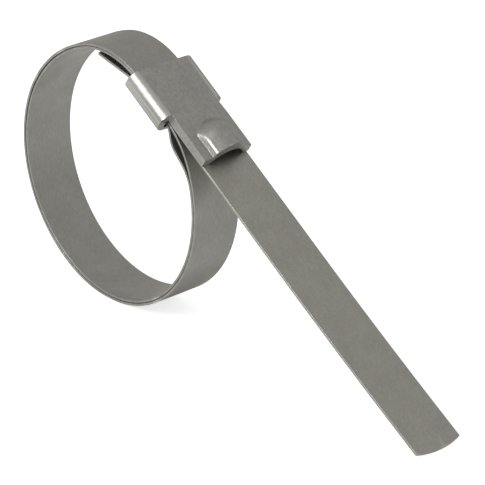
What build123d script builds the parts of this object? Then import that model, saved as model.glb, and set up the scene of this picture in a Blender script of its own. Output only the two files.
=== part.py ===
from build123d import *
import os
from math import asin, atan2, cos, degrees, hypot, radians, sin, sqrt

# Preformed centre-punch hose clamp. One stainless strip runs twice round the hose and three
# times through a stamped buckle, and its long tail is pulled through to tighten the loop.
#
# The clamp is drawn with the buckle on top and the tail along +X, about the centre of the
# bore, and then tipped about Y until it stands on its loop and on the tip of its tail.
# All sizes are in millimetres.

# ---- strip ----
strip_width = 15.9
strip_thickness = 0.75
layer_gap = 0.10  # between the strip's layers in the buckle
end_arc_radius = 27.0  # both cut ends of the strip are shallow arcs
cut_spare = 0.5  # how far a cutting shape stands past the strip

# ---- loop ----
bore_radius = 34.2  # the hose side of the inner turn, round its bottom and its rear side
turn_gap = 0.45  # between the two turns at the bottom of the loop
outer_turn_shift_x = 0.65  # the outer turn's centre, from the centre of the bore
outer_turn_shift_z = 1.80
rear_bend_start_x = -6.4
rear_bend_radius = 26.75  # inside of the outer turn's bend behind the buckle
front_bend_radius = 24.0  # inside of the outer turn's bend in front of the buckle
outer_rear_flattening = 5.1  # how much wider than its round part a turn's side is bent
inner_rear_flattening = 7.8
inner_front_flattening = 3.6

# ---- inner end of the strip, loose inside the loop behind the buckle ----
inner_end_bend_radius = 20.0
inner_end_sweep = 9.5  # its slope, as a length along the loop's bend above it
inner_end_straight = 13.6

# ---- tail ----
tail_length = 126.5  # from the centre of the bore to the tip
tail_straight = 60.0  # the length of it that is flat; the rest curls up a little
tail_curl_radius = 1440.0
strip_joint_x = -4.5  # where the sliding tail meets the outer turn, inside the buckle

# ---- buckle ----
floor_clearance = 0.10  # between the bore and the underside of the buckle's floor
floor_thickness = 1.20
floor_seam = 0.80  # between the two flanges that make the floor
arch_room = 0.50  # under the lowest layer, above the floor
top_clearance = 0.10  # above the tail, under the top plate
top_thickness = 2.60
side_clearance = 2.25  # beside the strip, each side
ear_wall = 1.20
ear_rear_x = -7.0
ear_front_x = 9.1
ear_top_radius = 3.2
ear_bottom_radius = 3.0
cavity_corner_radius = 1.4
tongue_front_x = 25.7
tongue_side_lap = 0.50  # the tongue stands past the strip, each side
tongue_edge_radius = 0.35

# ---- hump that the punch is struck on ----
hump_rear_x = 14.2
hump_foot_half_width = 7.0
hump_height = 4.6
hump_side_slope = 38.0  # degrees from upright
hump_corner_radius = 4.8  # in plan, at the foot
hump_crown_radius = 1.8
tunnel_rear_x = 16.2
tunnel_half_width = 7.4
tunnel_height = 4.1
tunnel_side_slope = 48.0
tunnel_corner_radius = 5.2
tunnel_crown_radius = 1.2

# ---- heights of the layers and of the buckle, from the centre of the bore ----
floor_bottom_z = bore_radius + floor_clearance
floor_top_z = floor_bottom_z + floor_thickness
low_layer_z = floor_top_z + arch_room
middle_layer_z = low_layer_z + strip_thickness + layer_gap
tail_z = middle_layer_z + strip_thickness + layer_gap
plate_z = tail_z + strip_thickness + top_clearance
buckle_top_z = plate_z + top_thickness
outer_turn_radius = bore_radius + strip_thickness + turn_gap + outer_turn_shift_z
outer_rear_side_radius = outer_turn_radius + outer_rear_flattening
inner_rear_side_radius = bore_radius + inner_rear_flattening
inner_front_side_radius = bore_radius + inner_front_flattening

half_width = strip_width / 2
layer_step = strip_thickness + layer_gap
cavity_half_width = half_width + side_clearance
ear_half_width = cavity_half_width + ear_wall
tongue_half_width = half_width + tongue_side_lap

bore_centre = (0.0, 0.0)
outer_turn_centre = (outer_turn_shift_x, outer_turn_shift_z)


def angle_to(centre, point):
    """Direction from centre to point, in degrees from +X, between -90 and 270."""
    angle = degrees(atan2(point[1] - centre[1], point[0] - centre[0]))
    return angle + 360 if angle < -90 else angle


def side_centre(side, side_radius, round_centre, round_radius, bend, bend_radius):
    """Centre of the flatter arc between a turn's round part and its bend at the buckle.

    The arc touches both circles from outside. side is -1 behind the buckle, 1 in front of it.
    """
    to_round = side_radius - round_radius
    to_bend = side_radius - bend_radius
    step_x, step_z = bend[0] - round_centre[0], bend[1] - round_centre[1]
    apart = hypot(step_x, step_z)
    along = (to_round**2 - to_bend**2 + apart**2) / (2 * apart)
    off = side * sqrt(to_round**2 - along**2)
    return (
        round_centre[0] + (along * step_x - off * step_z) / apart,
        round_centre[1] + (along * step_z + off * step_x) / apart,
    )


def arc_run(centre, radius, start, end):
    """One bend of the strip: inner radius, and start and end directions from its centre."""
    return [
        CenterArc(centre, radius + step, start, end - start)
        for step in (0, strip_thickness)
    ]


def flat_run(start_x, end_x, z):
    """One flat stretch of the strip, with its underside at z."""
    return [
        Line((start_x, z + step), (end_x, z + step)) for step in (0, strip_thickness)
    ]


def band(runs):
    """The strip along a chain of runs: its side view, pushed out to the strip's width."""
    edges = [edge for run in runs for edge in run]
    first, last = runs[0], runs[-1]
    edges.append(Line(first[0] @ 0, first[1] @ 0))
    edges.append(Line(last[0] @ 1, last[1] @ 1))
    return extrude(Plane.XZ * make_face(edges), amount=half_width, both=True)


def strip_end_outline(tip_x, length):
    """Plan of a strip's end: full width, cut off at the tip by a shallow arc."""
    arc_centre_x = tip_x - end_arc_radius
    blank = Pos(tip_x - length / 2, 0) * Rectangle(length, strip_width + 2 * cut_spare)
    disc = Pos(arc_centre_x, 0) * Circle(end_arc_radius)
    behind = Pos(arc_centre_x - length / 2, 0) * Rectangle(length, strip_width + 2 * cut_spare)
    return blank & (disc + behind)


# ---- bends shared by the two turns ----
rear_bend = (rear_bend_start_x, tail_z - rear_bend_radius)
inner_rear_bend_radius = rear_bend_radius - layer_step
front_bend_z = middle_layer_z - front_bend_radius
front_bend_reach = outer_turn_radius - front_bend_radius
front_bend_rise = front_bend_z - outer_turn_shift_z
front_bend_run = sqrt(front_bend_reach**2 - front_bend_rise**2)
front_bend = (outer_turn_shift_x + front_bend_run, front_bend_z)
inner_front_bend_radius = front_bend_radius - layer_step

# ---- outer turn: from the top layer, round the loop, to the middle layer ----
outer_side = side_centre(
    -1,
    outer_rear_side_radius,
    outer_turn_centre,
    outer_turn_radius,
    rear_bend,
    rear_bend_radius,
)
outer_bend_end = angle_to(outer_side, rear_bend)
outer_side_end = angle_to(outer_side, outer_turn_centre)
front_join = angle_to(outer_turn_centre, front_bend)
outer_turn = band(
    [
        flat_run(strip_joint_x, rear_bend[0], tail_z),
        arc_run(rear_bend, rear_bend_radius, 90, outer_bend_end),
        arc_run(outer_side, outer_rear_side_radius, outer_bend_end, outer_side_end),
        arc_run(outer_turn_centre, outer_turn_radius, outer_side_end, front_join + 360),
        arc_run(front_bend, front_bend_radius, front_join, 90),
        flat_run(front_bend[0], 0, middle_layer_z),
    ]
)

# ---- inner turn: from the middle layer, round the hose, to the lowest layer and its end ----
rear_side = side_centre(
    -1,
    inner_rear_side_radius,
    bore_centre,
    bore_radius,
    rear_bend,
    inner_rear_bend_radius,
)
front_side = side_centre(
    1,
    inner_front_side_radius,
    bore_centre,
    bore_radius,
    front_bend,
    inner_front_bend_radius,
)
rear_bend_end = angle_to(rear_side, rear_bend)
rear_side_end = angle_to(rear_side, bore_centre)
front_side_start = angle_to(front_side, bore_centre) + 360
front_side_end = angle_to(front_side, front_bend) + 360
end_bend_drop = arch_room - layer_gap
end_bend_run = sqrt(end_bend_drop * (2 * inner_end_bend_radius - end_bend_drop))
inner_end_bend_start_x = ear_rear_x + end_bend_run
inner_turn_loop = [
    flat_run(0, rear_bend[0], middle_layer_z),
    arc_run(rear_bend, inner_rear_bend_radius, 90, rear_bend_end),
    arc_run(rear_side, inner_rear_side_radius, rear_bend_end, rear_side_end),
    arc_run(bore_centre, bore_radius, rear_side_end, front_side_start),
    arc_run(front_side, inner_front_side_radius, front_side_start, front_side_end),
    arc_run(front_bend, inner_front_bend_radius, front_side_end - 360, 90),
    flat_run(front_bend[0], inner_end_bend_start_x, low_layer_z),
]
end_bend = (inner_end_bend_start_x, low_layer_z - inner_end_bend_radius)
inner_end_slope = degrees(inner_end_sweep / inner_rear_bend_radius)
end_direction = 90 + inner_end_slope
slope_x, slope_z = -cos(radians(inner_end_slope)), -sin(radians(inner_end_slope))
bend_end = [
    CenterArc(end_bend, inner_end_bend_radius + step, 90, inner_end_slope) @ 1
    for step in (0, strip_thickness)
]
straight_end = [
    Line(point, point + Vector(slope_x, slope_z) * inner_end_straight) for point in bend_end
]
inner_end = band([arc_run(end_bend, inner_end_bend_radius, 90, end_direction), straight_end])
inner_tip = straight_end[0] @ 1
end_plane = Plane(
    origin=(inner_tip.X, 0, inner_tip.Y),
    x_dir=(slope_x, 0, slope_z),
    z_dir=(slope_z, 0, -slope_x),
)
end_arc_depth = end_arc_radius - sqrt(end_arc_radius**2 - half_width**2)
beyond_end = Rectangle(4 * end_arc_depth, strip_width + 2 * cut_spare)
beyond_end -= strip_end_outline(0, inner_end_straight)
inner_end -= extrude(end_plane * beyond_end, amount=2 * strip_thickness, both=True)
inner_turn = band(inner_turn_loop) + inner_end

# ---- tail: straight through the buckle, then curling up a little to its tip ----
curl_length = tail_length - tail_straight
curl_centre = (tail_straight, tail_z + strip_thickness + tail_curl_radius)
curl_angle = degrees(asin(curl_length / tail_curl_radius))
tail_edges = [
    Line((strip_joint_x, tail_z), (tail_straight, tail_z)),
    CenterArc(curl_centre, tail_curl_radius + strip_thickness, 270, curl_angle),
    Line((strip_joint_x, tail_z + strip_thickness), (tail_straight, tail_z + strip_thickness)),
    CenterArc(curl_centre, tail_curl_radius, 270, curl_angle),
]
tail_edges.append(Line(tail_edges[1] @ 1, tail_edges[3] @ 1))
tail_edges.append(Line(tail_edges[0] @ 0, tail_edges[2] @ 0))
tail = extrude(Plane.XZ * make_face(tail_edges), amount=half_width, both=True)
tail_plan = strip_end_outline(tail_length, tail_length - strip_joint_x)
tail &= extrude(Plane.XY.offset(tail_z - cut_spare) * tail_plan, amount=buckle_top_z)

# ---- buckle: ears folded round the strip, with a thick tongue in front ----
ear_height = buckle_top_z - floor_bottom_z
ear_mid_z = (buckle_top_z + floor_bottom_z) / 2
cavity_height = plate_z - floor_top_z
cavity_mid_z = (plate_z + floor_top_z) / 2
ear_length = ear_front_x - ear_rear_x
ear_section = Pos(0, ear_mid_z) * Rectangle(2 * ear_half_width, ear_height)
ear_section = fillet(ear_section.vertices().group_by(Axis.Y)[-1], ear_top_radius)
ear_section = fillet(ear_section.vertices().group_by(Axis.Y)[0], ear_bottom_radius)
cavity = Pos(0, cavity_mid_z) * RectangleRounded(
    2 * cavity_half_width, cavity_height, cavity_corner_radius
)
seam = Pos(0, floor_bottom_z) * Rectangle(floor_seam, 3 * floor_thickness)
ears = extrude(
    Plane.YZ.offset(ear_rear_x) * (ear_section - cavity - seam), amount=ear_length
)
tongue_length = tongue_front_x - ear_front_x
tongue = Pos(ear_front_x + tongue_length / 2, 0, plate_z + top_thickness / 2) * Box(
    tongue_length, 2 * tongue_half_width, top_thickness
)
tongue_rims = tongue.edges().filter_by(Axis.X).group_by(Axis.Z)[-1]
tongue = fillet(tongue_rims, tongue_edge_radius)


def raised(rear_x, half, corner, height, slope, crown, base_z):
    """A raised shape with sloping sides and a rounded crown, running out past the tongue's front."""
    length = tongue_front_x - rear_x + 2 * height
    plan = Pos(rear_x + length / 2, 0) * RectangleRounded(length, 2 * half, corner)
    shape = extrude(Plane.XY.offset(base_z) * plan, amount=height, taper=slope)
    return fillet(shape.faces().sort_by(Axis.Z)[-1].edges(), crown)


hump_base_z = buckle_top_z - tongue_edge_radius
hump = raised(
    hump_rear_x,
    hump_foot_half_width,
    hump_corner_radius,
    hump_height + tongue_edge_radius,
    hump_side_slope,
    hump_crown_radius,
    hump_base_z,
)
tunnel = raised(
    tunnel_rear_x,
    tunnel_half_width,
    tunnel_corner_radius,
    tunnel_height,
    tunnel_side_slope,
    tunnel_crown_radius,
    plate_z,
)
front_room = Pos(tongue_front_x + tail_length / 2, 0, buckle_top_z) * Box(
    tail_length, 2 * ear_half_width, 4 * hump_height
)
buckle = ears + tongue + (hump - front_room) - tunnel

# ---- stand the clamp on its loop and the tip of its tail ----
curl_rise = tail_curl_radius * (1 - cos(radians(curl_angle)))
tip_x = tail_length - outer_turn_shift_x
tip_z = tail_z + curl_rise - outer_turn_shift_z
stand_radius = outer_turn_radius + strip_thickness
standing_angle = degrees(asin(stand_radius / hypot(tip_x, tip_z)) + atan2(tip_z, tip_x))

os.makedirs("parts", exist_ok=True)
nodes = {
    "buckle": buckle,
    "band_outer_turn": outer_turn,
    "band_inner_turn": inner_turn,
    "band_tail": tail,
}
for name, shape in nodes.items():
    export_step(Rot(0, standing_angle, 0) * shape, f"parts/{name}.step")
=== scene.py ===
from math import cos, radians, sin, sqrt

import bpy
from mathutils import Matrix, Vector


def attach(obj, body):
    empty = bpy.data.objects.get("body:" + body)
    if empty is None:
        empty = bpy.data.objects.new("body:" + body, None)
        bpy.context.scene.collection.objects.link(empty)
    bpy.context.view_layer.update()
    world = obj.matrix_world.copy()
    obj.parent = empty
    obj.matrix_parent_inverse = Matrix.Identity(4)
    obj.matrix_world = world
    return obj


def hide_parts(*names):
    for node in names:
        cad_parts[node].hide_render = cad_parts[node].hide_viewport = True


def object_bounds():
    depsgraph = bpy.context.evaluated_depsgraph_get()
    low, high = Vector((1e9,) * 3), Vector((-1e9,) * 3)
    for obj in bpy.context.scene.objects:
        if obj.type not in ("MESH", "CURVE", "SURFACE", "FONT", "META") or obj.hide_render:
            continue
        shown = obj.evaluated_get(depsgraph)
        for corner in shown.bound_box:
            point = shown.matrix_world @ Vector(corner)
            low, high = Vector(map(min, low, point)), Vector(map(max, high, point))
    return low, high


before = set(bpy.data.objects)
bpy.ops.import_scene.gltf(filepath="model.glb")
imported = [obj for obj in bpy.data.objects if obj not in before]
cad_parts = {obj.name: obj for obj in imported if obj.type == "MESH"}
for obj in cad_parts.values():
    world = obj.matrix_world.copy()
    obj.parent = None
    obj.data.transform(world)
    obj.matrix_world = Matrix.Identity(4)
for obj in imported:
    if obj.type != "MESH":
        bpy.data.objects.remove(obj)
cad_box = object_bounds()

# The bench: a plain pale sheet under the clamp, one large soft lamp over the near side of the
# buckle, and a camera looking down along the loop from the near side.
bpy.ops.object.select_all(action="DESELECT")
bpy.ops.mesh.primitive_plane_add(size=4, location=(0, 0, cad_box[0].z))
bench = bpy.context.object
bench.name = "bench"
bpy.ops.object.transform_apply(location=True, rotation=True, scale=True)
bench_paint = bpy.data.materials.new("bench_white")
bench_paint.use_nodes = True
nodes, links = bench_paint.node_tree.nodes, bench_paint.node_tree.links
# the bench also glows where it is seen directly, so that it shows plain white; the metal mirrors
# its own colour, without the glow
bench_ray = nodes.new("ShaderNodeLightPath")
bench_mix = nodes.new("ShaderNodeMix")
bench_mix.data_type = "RGBA"
bench_mix.inputs["A"].default_value = (0.92, 0.915, 0.905, 1)
bench_mix.inputs["B"].default_value = (0.93, 0.93, 0.93, 1)
links.new(bench_ray.outputs["Is Camera Ray"], bench_mix.inputs["Factor"])
links.new(bench_mix.outputs["Result"], nodes["Principled BSDF"].inputs["Base Color"])
bench_glow = nodes.new("ShaderNodeMath")
bench_glow.operation = "MULTIPLY"
bench_glow.inputs[1].default_value = 0.7
links.new(bench_ray.outputs["Is Camera Ray"], bench_glow.inputs[0])
links.new(bench_glow.outputs["Value"], nodes["Principled BSDF"].inputs["Emission Strength"])
nodes["Principled BSDF"].inputs["Emission Color"].default_value = (1, 1, 1, 1)
nodes["Principled BSDF"].inputs["Roughness"].default_value = 0.9
nodes["Principled BSDF"].inputs["Specular IOR Level"].default_value = 0.0
bench.data.materials.append(bench_paint)

# the room is white to look at, and a softer grey where the steel mirrors it
world = bpy.data.worlds.new("studio")
bpy.context.scene.world = world
world.use_nodes = True
room = world.node_tree.nodes["Background"]
room.inputs["Color"].default_value = (0.62, 0.62, 0.60, 1)
room.inputs["Strength"].default_value = 0.72
backdrop = world.node_tree.nodes.new("ShaderNodeBackground")
backdrop.inputs["Color"].default_value = (1, 1, 1, 1)
room_ray = world.node_tree.nodes.new("ShaderNodeLightPath")
room_mix = world.node_tree.nodes.new("ShaderNodeMixShader")
world.node_tree.links.new(room_ray.outputs["Is Camera Ray"], room_mix.inputs["Fac"])
world.node_tree.links.new(room.outputs["Background"], room_mix.inputs[1])
world.node_tree.links.new(backdrop.outputs["Background"], room_mix.inputs[2])
world.node_tree.links.new(
    room_mix.outputs["Shader"], world.node_tree.nodes["World Output"].inputs["Surface"]
)

lamp_distance = 0.60
bpy.ops.object.light_add(
    type="AREA", location=Vector((0.06, -0.72, 0.69)).normalized() * lamp_distance
)
lamp = bpy.context.object
lamp.name = "lamp_near"
lamp.rotation_euler = (-lamp.location).to_track_quat("-Z", "Y").to_euler()
lamp.data.shape = "SQUARE"
lamp.data.size = 0.27
lamp.data.energy = 1.5

bpy.ops.object.camera_add(
    location=(0.59970, -0.4944, 0.34265),
    rotation=(radians(64.847), radians(-0.296), radians(48.174)),
)
camera = bpy.context.object
camera.data.lens = 222.1
camera.data.sensor_width = 36
camera.data.clip_start = 0.05
bpy.context.scene.camera = camera
bpy.context.scene.view_settings.view_transform = "Standard"

# The strip, outer turn. One length of stainless strip is slit to width, its edges smoothed, and
# bent into a loop. This turn runs from the top layer in the buckle, round the outside of the loop,
# to the middle layer.
mm = 0.001
stand_tilt = radians(33.366)  # the clamp lies tipped forward on its loop and the tip of its tail
strip_width = 15.9 * mm
strip_thickness = 0.75 * mm
strip_edge_round = 0.12 * mm
strip_columns = 12
top_layer = 37.7 * mm  # undersides of two layers in the buckle, above the bore's centre
middle_layer = 36.85 * mm
top_layer_parting = -4.5 * mm  # where the loop's part of the top layer ends and the tail's begins
buckle_mouth = -6.4 * mm  # where the strip starts to bend, behind the buckle
rear_bend_centre = 10.95 * mm
loop_centre = 1.80 * mm


def select_points(piece, wanted):
    """Selects the piece's points that a test picks, and the edges and faces between them."""
    bpy.ops.object.mode_set(mode="OBJECT")
    mesh = piece.data
    mesh.vertices.foreach_set("select", [bool(wanted(v.co)) for v in mesh.vertices])
    for edge in mesh.edges:
        edge.select = all(mesh.vertices[i].select for i in edge.vertices)
    for face in mesh.polygons:
        face.select = all(mesh.vertices[i].select for i in face.vertices)
    bpy.ops.object.mode_set(mode="EDIT")


def flat_strip(name, start_x, end_x, z):
    """A flat stretch of strip along X, from start_x to end_x, with its far end selected."""
    bpy.ops.object.select_all(action="DESELECT")
    bpy.ops.mesh.primitive_grid_add(
        x_subdivisions=1,
        y_subdivisions=strip_columns,
        size=1,
        location=((start_x + end_x) / 2, 0, z),
    )
    strip = bpy.context.object
    strip.name = name
    strip.scale = (abs(end_x - start_x), strip_width, 1)
    bpy.ops.object.transform_apply(location=True, rotation=True, scale=True)
    bpy.ops.object.mode_set(mode="EDIT")
    bpy.ops.mesh.select_mode(type="VERT")
    select_points(strip, lambda co: abs(co.x - end_x) < 1e-6)
    return strip


def bend_on(centre_x, centre_z, angle, steps):
    """Carries the selected end of the strip on round a bend about (centre_x, centre_z)."""
    bpy.ops.mesh.spin(
        steps=steps, angle=radians(angle), center=(centre_x, 0, centre_z), axis=(0, 1, 0)
    )


def run_on(dx, dz=0.0):
    """Carries the selected end of the strip on in a straight line."""
    bpy.ops.mesh.extrude_region_move(TRANSFORM_OT_translate={"value": (dx, 0, dz)})


def round_edges(piece, name, width, angle):
    """Rounds the piece's edges that turn by more than an angle, and shades it evenly."""
    rounded = piece.modifiers.new(name, "BEVEL")
    rounded.width = width
    rounded.segments = 3
    rounded.limit_method = "ANGLE"
    rounded.angle_limit = radians(angle)
    bpy.ops.object.modifier_apply(modifier=name)
    bpy.ops.object.shade_smooth_by_angle(angle=radians(40))
    even = piece.modifiers.new("even_shading", "WEIGHTED_NORMAL")
    even.keep_sharp = True
    bpy.ops.object.modifier_apply(modifier="even_shading")


def lay_down(piece):
    """Tips a piece that was made with the buckle on top into the way the clamp lies."""
    piece.rotation_euler = (0, stand_tilt, 0)
    bpy.ops.object.transform_apply(location=True, rotation=True, scale=True)


def finish_strip(strip):
    """Gives the strip its thickness, towards the outside of the loop, and its rolled edges, and
    lays it down as the clamp lies."""
    bpy.ops.mesh.select_all(action="SELECT")
    bpy.ops.mesh.remove_doubles(threshold=1e-6)
    bpy.ops.mesh.normals_make_consistent(inside=False)
    bpy.ops.object.mode_set(mode="OBJECT")
    thick = strip.modifiers.new("thickness", "SOLIDIFY")
    thick.thickness = strip_thickness
    thick.offset = 1
    bpy.ops.object.modifier_apply(modifier="thickness")
    round_edges(strip, "rolled_edges", strip_edge_round, 50)
    lay_down(strip)


outer_turn = flat_strip("strip_outer_turn", top_layer_parting, buckle_mouth, top_layer)
bend_on(buckle_mouth, rear_bend_centre, 51.177, 24)
bend_on(5.7147 * mm, 1.2014 * mm, 32.083, 18)
bend_on(0.65 * mm, loop_centre, 243.578, 120)
front_bend = 7.8706 * mm  # the middle layer runs back from here to the middle of the buckle
bend_on(front_bend, 12.85 * mm, 33.163, 18)
run_on(-front_bend)
finish_strip(outer_turn)
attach(outer_turn, "loop")
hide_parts("band_outer_turn")

# The strip, inner turn. The same strip goes on from the middle layer round the hose side of the
# loop, back into the buckle as its lowest layer, and ends loose behind it in a rounded tip.
inner_turn = flat_strip("strip_inner_turn", 0, buckle_mouth, middle_layer)
bend_on(buckle_mouth, rear_bend_centre, 52.794, 26)
bend_on(5.9452 * mm, 1.5774 * mm, 34.753, 22)
bend_on(0.75 * mm, loop_centre, 228.462, 110)
# the strip sags away from the outer turn here, and cranks up through the front of the buckle
bend_on(16.8634 * mm, 18.4912 * mm, 32.991, 12)
run_on(-3.782 * mm, 0.735 * mm)
bend_on(16.8974 * mm, 38.8589 * mm, -34, 10)
run_on(-0.919 * mm, 0.919 * mm)
bend_on(8.2 * mm, 32.0 * mm, 45, 12)
run_on(-(8.2 + 3.02) * mm)
# the loose end droops away behind the buckle
droop = radians(21)
bend_on(-3.02 * mm, 16.0 * mm, 21, 10)
run_on(-13.2 * cos(droop) * mm, -13.2 * sin(droop) * mm)


def round_tip(strip, dx, dz):
    """Draws the selected end of the strip back at its corners into a shallow arc, then on by
    the last 0.4 mm in the direction (dx, dz)."""
    tip_arc = 27.0 * mm
    bpy.ops.object.mode_set(mode="OBJECT")
    for point in strip.data.vertices:
        if point.select:
            point.co -= Vector((dx, 0, dz)) * (tip_arc - sqrt(tip_arc**2 - point.co.y**2))
    bpy.ops.object.mode_set(mode="EDIT")
    run_on(0.4 * dx * mm, 0.4 * dz * mm)


round_tip(inner_turn, -cos(droop), -sin(droop))
finish_strip(inner_turn)
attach(inner_turn, "loop")
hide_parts("band_inner_turn")

# The strip, tail. The last of the strip comes out from under the tongue. It is what the pliers
# pull; it curls up very slightly towards its rounded tip.
curl_start = 60 * mm
curl_centre = (37.7 + 0.75 + 1440) * mm
tip_slope = radians(2.647)
tail = flat_strip("strip_tail", top_layer_parting, curl_start, top_layer)
bend_on(curl_start, curl_centre, 2.631, 12)
round_tip(tail, cos(tip_slope), sin(tip_slope))
finish_strip(tail)
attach(tail, "tail")
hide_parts("band_tail")

# The buckle. One stamped stainless blank: a thick top plate and tongue, with two ears folded down
# beside the strip, thinner where they turn in under it, and a hump pressed up at the front for
# the punch.
buckle_rear = -7.0 * mm
ear_length = 16.1 * mm
tongue_flat = 4.4 * mm  # from the ears' front to the first row of the hump's stretch
hump_stretch = 12.2  # in mm; the rest of the tongue, drawn out in rows
hump_rows = 40
tongue_side = 8.45 * mm
far_ear_set_back = 1.0 * mm
bpy.ops.object.select_all(action="DESELECT")
bpy.ops.mesh.primitive_plane_add(size=1 * mm, location=(buckle_rear, 0, 41.15 * mm))
buckle = bpy.context.object
buckle.name = "buckle_body"
bpy.ops.object.transform_apply(location=True, rotation=True, scale=True)
bpy.ops.object.mode_set(mode="EDIT")
bpy.ops.mesh.select_all(action="SELECT")
bpy.ops.mesh.merge(type="CENTER")


def draw_on(dy, dz, count=1):
    """Draws the section's outline on in a straight line from the selected point."""
    for _ in range(count):
        bpy.ops.mesh.extrude_region_move(
            TRANSFORM_OT_translate={"value": (0, dy / count * mm, dz / count * mm)}
        )


def turn_on(y, z, angle, steps):
    """Draws the section's outline on round an arc about (y, z) from the selected point."""
    bpy.ops.mesh.spin(
        steps=steps, angle=radians(angle), center=(buckle_rear, y * mm, z * mm), axis=(1, 0, 0)
    )


# outside of the fold, from the middle of the plate to the seam underneath
draw_on(8.2, 0, 32)
turn_on(8.2, 37.95, 90, 10)
draw_on(0, -0.65)
turn_on(8.4, 37.30, 90, 10)
draw_on(-8.0, 0, 4)
# inside of the fold, alongside the strip
bpy.ops.mesh.select_all(action="DESELECT")
bpy.ops.mesh.primitive_plane_add(size=1 * mm, location=(buckle_rear, 0, 38.55 * mm))
bpy.ops.mesh.merge(type="CENTER")
draw_on(8.2, 0, 32)
draw_on(0.25, 0)
turn_on(8.45, 38.15, 90, 10)
draw_on(0, -2.25)
turn_on(8.45, 35.90, 90, 10)
draw_on(-8.05, 0, 4)
# the two outlines are bridged into the section of one half, which is drawn out along the buckle
bpy.ops.mesh.select_all(action="SELECT")
bpy.ops.mesh.bridge_edge_loops()
bpy.ops.mesh.select_all(action="SELECT")
run_on(ear_length)
# only the plate goes on past the ears, as the tongue
select_points(buckle, lambda co: co.x > 9 * mm and co.y < 8.46 * mm and co.z > 38.5 * mm)
run_on(tongue_flat)
for _ in range(hump_rows):
    run_on(hump_stretch / hump_rows * mm)
# the faces on the middle plane are taken away, so that the halves join into one wall
select_points(buckle, lambda co: abs(co.y) < 1e-7)
bpy.ops.mesh.delete(type="ONLY_FACE")
bpy.ops.mesh.select_all(action="SELECT")
bpy.ops.mesh.delete_loose()
bpy.ops.object.mode_set(mode="OBJECT")
# the tongue's sides are sheared off square
for point in buckle.data.vertices:
    if point.co.x > 9.2 * mm and point.co.y > 8.1 * mm:
        point.co.y = tongue_side
mirrored = buckle.modifiers.new("other_half", "MIRROR")
mirrored.use_axis = (False, True, False)
mirrored.merge_threshold = 1e-6
bpy.ops.object.modifier_apply(modifier="other_half")
# the far ear is cut a little shorter than the near one
for point in buckle.data.vertices:
    if point.co.x > 9.0 * mm and point.co.y > 8.5 * mm:
        point.co.x -= far_ear_set_back


def eased(t):
    """Rises from 0 to 1, steepest at the start, as pressed metal leaves the die's edge."""
    t = min(max(t, 0), 1)
    return 1 - (1 - t) ** 2


def drawn_up(y, heights):
    """The pressing's height at y, from heights known at a few places across the tongue."""
    for (y0, h0), (y1, h1) in zip(heights, heights[1:]):
        if y0 <= y <= y1:
            return h0 + (h1 - h0) * (y - y0) / (y1 - y0)
    return 0.0


# (place across the tongue, height) of the hump's top and of the arch under it, in mm
hump_heights = (
    (-5.38, 0), (-5.12, 1.0), (-4.87, 1.6), (-4.61, 1.9), (-4.36, 2.07), (-3.84, 2.33),
    (-3.07, 2.72), (-2.05, 3.18), (-1.02, 3.55), (0, 3.8), (1.54, 3.98), (2.56, 3.88),
    (3.59, 3.45), (4.61, 2.7), (5.64, 1.6), (6.66, 0.5), (7.43, 0),
)
arch_heights = (
    (-6.15, 0), (-5.12, 0.8), (-4.1, 1.75), (-3.07, 2.5), (-2.05, 2.98), (-1.02, 3.3),
    (0, 3.48), (1.28, 3.55), (2.56, 3.4), (3.59, 3.0), (4.61, 2.25), (5.64, 1.2), (6.66, 0),
)
# the hump is pressed up between the plate's margins; its near foot is crisp, its crown rounded,
# and its rear edge curves forward on both sides
for point in buckle.data.vertices:
    x, y = point.co.x / mm, point.co.y / mm
    if x < 13.6:
        continue
    on_top = point.co.z > 40 * mm
    if on_top:
        rear_edge = 13.9 + 3.1 * min(((y - 1) / 6.4) ** 2, 1.0)
        rise = drawn_up(y, hump_heights) * eased((x - rear_edge) / 6.0)
    else:
        rear_edge = 16.4 + 2.0 * (y / 6.5) ** 2
        rise = drawn_up(y, arch_heights) * eased((x - rear_edge) / 4.5)
    point.co.z += rise * mm
bpy.ops.object.mode_set(mode="EDIT")
bpy.ops.mesh.select_all(action="SELECT")
bpy.ops.mesh.remove_doubles(threshold=1e-6)
bpy.ops.mesh.normals_make_consistent(inside=False)
bpy.ops.object.mode_set(mode="OBJECT")
round_edges(buckle, "tumbled_edges", 0.13 * mm, 60)
lay_down(buckle)
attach(buckle, "loop")
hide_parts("buckle")


# The finishes. Strip and buckle are the same stainless: the strip keeps the fine lengthwise
# grain of the rolls, and the buckle is tumbled after stamping, which leaves it matt and dimpled.
loop_radius = 0.037  # in metres, to measure the grain along the strip round the loop
# the lighter colour of sharp outward edges: partly handling polish, partly a painted highlight
rub_and_sheen_colour = (0.66, 0.65, 0.62, 1)
rub_and_sheen_roughness = 0.34


def new_group(name, ins, outs):
    """An empty shader node group with its sockets, and its input and output nodes."""
    group = bpy.data.node_groups.new(name, "ShaderNodeTree")
    for socket, kind, value in ins:
        made = group.interface.new_socket(socket, in_out="INPUT", socket_type=kind)
        if value is not None:
            made.default_value = value
    for socket, kind in outs:
        group.interface.new_socket(socket, in_out="OUTPUT", socket_type=kind)
    return group, group.nodes.new("NodeGroupInput"), group.nodes.new("NodeGroupOutput")


def joined(tree, kind, values=(), wires=(), **settings):
    """A node with its settings, its set values, and wires from other nodes' sockets."""
    node = tree.nodes.new(kind)
    for name, value in settings.items():
        setattr(node, name, value)
    for socket, value in dict(values).items():
        node.inputs[socket].default_value = value
    for socket, source in dict(wires).items():
        tree.links.new(source, node.inputs[socket])
    return node


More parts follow.
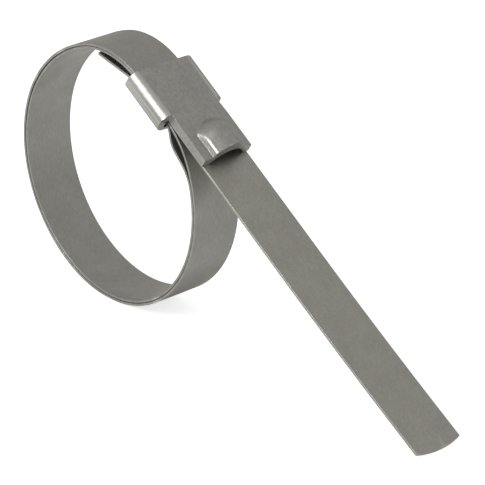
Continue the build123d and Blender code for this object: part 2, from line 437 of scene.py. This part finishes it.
# rolled grain: fine streaks along the strip, and a broad cloudiness from handling
grain, grain_in, grain_out = new_group(
    "rolled_grain",
    [("Surface", "NodeSocketVector", None), ("Streak Length", "NodeSocketFloat", 12.0),
     ("Fineness", "NodeSocketFloat", 2600.0)],
    [("Streaks", "NodeSocketFloat"), ("Clouds", "NodeSocketFloat")],
)
grain_parts = joined(grain, "ShaderNodeSeparateXYZ", wires={0: grain_in.outputs["Surface"]})
grain_along = joined(
    grain, "ShaderNodeMath", operation="DIVIDE",
    wires={0: grain_parts.outputs["X"], 1: grain_in.outputs["Streak Length"]},
)
grain_drawn = joined(
    grain, "ShaderNodeCombineXYZ",
    wires={
        "X": grain_along.outputs[0], "Y": grain_parts.outputs["Y"], "Z": grain_parts.outputs["Z"],
    },
)
grain_noise = joined(
    grain, "ShaderNodeTexNoise", {"Detail": 3.0, "Roughness": 0.6},
    {"Vector": grain_drawn.outputs[0], "Scale": grain_in.outputs["Fineness"]},
)
cloud_noise = joined(
    grain, "ShaderNodeTexNoise", {"Scale": 130.0, "Detail": 4.0, "Roughness": 0.55},
    {"Vector": grain_in.outputs["Surface"]},
)
grain.links.new(grain_noise.outputs["Fac"], grain_out.inputs["Streaks"])
grain.links.new(cloud_noise.outputs["Fac"], grain_out.inputs["Clouds"])

# edges where the metal turns sharply outwards are lighter and glossier: partly polish from
# handling, partly a painted highlight along the edges
rub_sheen_group, rub_sheen_in, rub_sheen_out = new_group(
    "rub_and_sheen_edges",
    [("Start", "NodeSocketFloat", 0.53), ("Full", "NodeSocketFloat", 0.62)],
    [("Rub And Sheen", "NodeSocketFloat")],
)
rub_sheen_shape = joined(rub_sheen_group, "ShaderNodeNewGeometry")
rub_sheen_range = joined(
    rub_sheen_group, "ShaderNodeMapRange",
    wires={"Value": rub_sheen_shape.outputs["Pointiness"], "From Min": rub_sheen_in.outputs["Start"],
           "From Max": rub_sheen_in.outputs["Full"]},
)
rub_sheen_group.links.new(rub_sheen_range.outputs["Result"], rub_sheen_out.inputs["Rub And Sheen"])


def steel(name, dark, light, streak_length, fineness, bump, round_loop=False):
    """Stainless steel whose grain runs along the strip, round the loop or straight."""
    made = bpy.data.materials.new(name)
    made.use_nodes = True
    tree = made.node_tree
    shader = tree.nodes["Principled BSDF"]
    shader.inputs["Metallic"].default_value = 1.0
    place = joined(tree, "ShaderNodeTexCoord")
    upright = joined(
        tree, "ShaderNodeMapping", {"Rotation": (0, -stand_tilt, 0)},
        {"Vector": place.outputs["Object"]},
    )
    surface = upright.outputs[0]
    if round_loop:
        parts = joined(tree, "ShaderNodeSeparateXYZ", wires={0: surface})
        below = joined(
            tree, "ShaderNodeMath", {1: -1.0}, {0: parts.outputs["Z"]}, operation="MULTIPLY"
        )
        turn = joined(
            tree, "ShaderNodeMath", wires={0: parts.outputs["X"], 1: below.outputs[0]},
            operation="ARCTAN2",
        )
        run = joined(
            tree, "ShaderNodeMath", {1: loop_radius}, {0: turn.outputs[0]}, operation="MULTIPLY"
        )
        surface = joined(
            tree, "ShaderNodeCombineXYZ", wires={"X": run.outputs[0], "Y": parts.outputs["Y"]}
        ).outputs[0]
    marks = joined(
        tree, "ShaderNodeGroup", node_tree=grain,
        values={"Streak Length": streak_length, "Fineness": fineness}, wires={"Surface": surface},
    )
    edge = joined(tree, "ShaderNodeGroup", node_tree=rub_sheen_group)
    tone = joined(
        tree, "ShaderNodeMix", {"A": (*dark, 1), "B": (*light, 1)},
        {"Factor": marks.outputs["Clouds"]}, data_type="RGBA",
    )
    streaked = joined(
        tree, "ShaderNodeMapRange",
        {"From Min": 0.3, "From Max": 0.7, "To Min": 0.88, "To Max": 1.12},
        {"Value": marks.outputs["Streaks"]},
    )
    shaded = joined(
        tree, "ShaderNodeVectorMath", operation="MULTIPLY",
        wires={0: tone.outputs["Result"], 1: streaked.outputs["Result"]},
    )
    # sharp outward edges are mixed towards a lighter colour: partly polish from handling, partly a
    # painted highlight along the edges
    rub_and_sheen_tone = joined(
        tree, "ShaderNodeMix", {"B": rub_and_sheen_colour},
        {"Factor": edge.outputs["Rub And Sheen"], "A": shaded.outputs[0]}, data_type="RGBA",
    )
    tree.links.new(rub_and_sheen_tone.outputs["Result"], shader.inputs["Base Color"])
    gloss = joined(
        tree, "ShaderNodeMapRange",
        {"From Min": 0.3, "From Max": 0.7, "To Min": 0.46, "To Max": 0.36},
        {"Value": marks.outputs["Clouds"]},
    )
    edge_gloss = joined(
        tree, "ShaderNodeMix", {"B": rub_and_sheen_roughness},
        {"Factor": edge.outputs["Rub And Sheen"], "A": gloss.outputs["Result"]}, data_type="FLOAT",
    )
    tree.links.new(edge_gloss.outputs["Result"], shader.inputs["Roughness"])
    raised = joined(
        tree, "ShaderNodeBump", {"Strength": bump, "Distance": 0.05 * mm},
        {"Height": marks.outputs["Streaks"]},
    )
    tree.links.new(raised.outputs["Normal"], shader.inputs["Normal"])
    return made


loop_steel = steel(
    "strip_steel_round", dark=(0.41, 0.40, 0.375), light=(0.50, 0.49, 0.465),
    streak_length=5.0, fineness=2800.0, bump=0.6, round_loop=True,
)
tail_steel = steel(
    "strip_steel_flat", dark=(0.445, 0.43, 0.395), light=(0.555, 0.54, 0.50),
    streak_length=2.5, fineness=3000.0, bump=0.6,
)
buckle_steel = steel(
    "buckle_steel_tumbled", dark=(0.42, 0.41, 0.39), light=(0.54, 0.53, 0.505),
    streak_length=1.3, fineness=1300.0, bump=1.0,
)
for piece, finish in (
    (outer_turn, loop_steel), (inner_turn, loop_steel), (tail, tail_steel), (buckle, buckle_steel)
):
    piece.data.materials.clear()
    piece.data.materials.append(finish)
